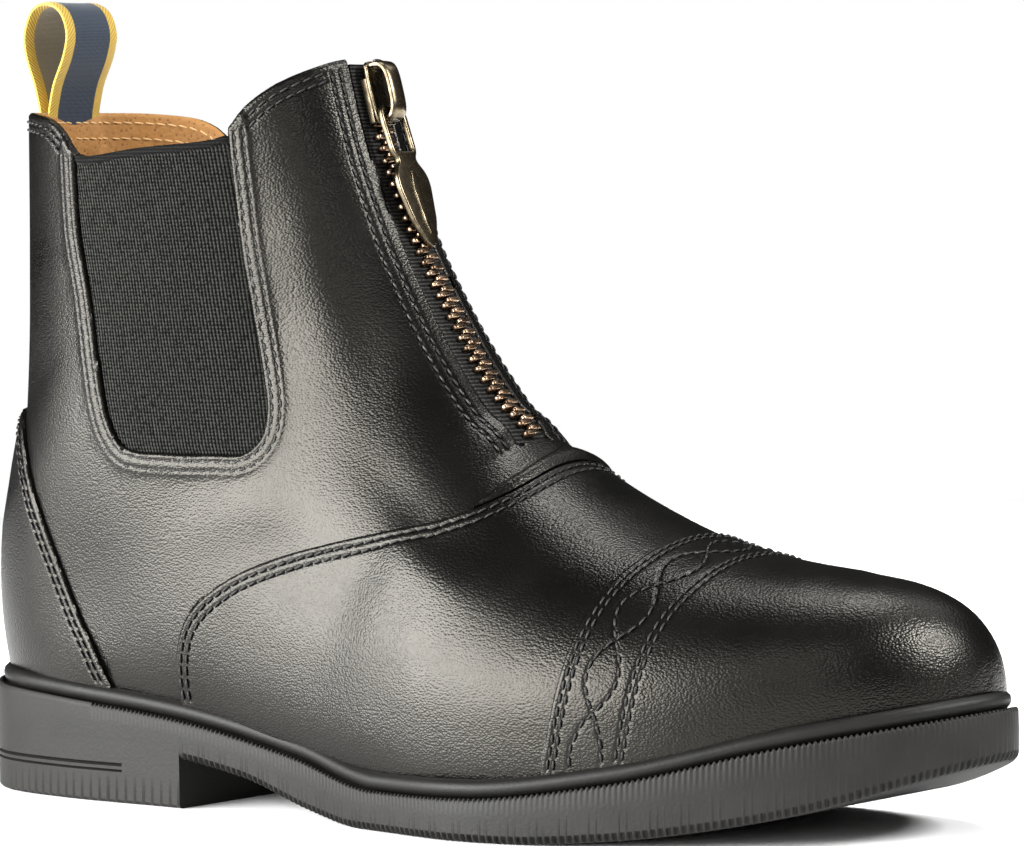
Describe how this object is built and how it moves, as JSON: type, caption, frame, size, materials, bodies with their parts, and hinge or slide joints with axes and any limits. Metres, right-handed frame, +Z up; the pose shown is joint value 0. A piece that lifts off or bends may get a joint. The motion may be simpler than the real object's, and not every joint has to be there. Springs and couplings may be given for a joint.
{
  "type": "stable boot",
  "caption": "Ankle-high leather riding boot with a front zip, elastic side gores, a capped toe, a low heel and a webbing pull loop; right foot.",
  "frame": {"origin": "middle of the boot's outline box on the floor", "axes": "+X from the heel to the toe, +Y towards the inner side of the foot, +Z up"},
  "size_m": [0.285, 0.1021, 0.1989],
  "materials": {
    "black_leather": "semi-gloss grained leather",
    "sole_rubber": "satin moulded rubber",
    "elastic_cloth": "matt ribbed elastic",
    "tan_lining": "matt tan lining",
    "zip_brass": "antique brass",
    "zip_tape_cloth": "matt woven tape",
    "loop_webbing": "woven webbing, dark blue with yellow edges"
  },
  "bodies": {
    "boot": {"outsole": "sole_rubber", "welt": "sole_rubber", "insole": "tan_lining", "upper": "black_leather", "gore_outer": "elastic_cloth", "gore_inner": "elastic_cloth", "toe_cap": "black_leather", "vamp": "black_leather", "crescent": "black_leather", "counter": "black_leather", "zip_tape_outer": "zip_tape_cloth", "zip_tape_inner": "zip_tape_cloth", "zip_teeth_outer": "zip_brass", "zip_teeth_inner": "zip_brass", "zip_slider": "zip_brass", "pull_loop": "loop_webbing"},
    "pull_tab": {"zip_pull": "zip_brass"}
  },
  "joints": [
    {"name": "pull_tab_hinge", "type": "hinge", "parent": "boot", "child": "pull_tab", "pos_m": [-0.02081, 0.00223, 0.16873], "axis": [0, -1, 0], "range_deg": [0, 150]}
  ]
}
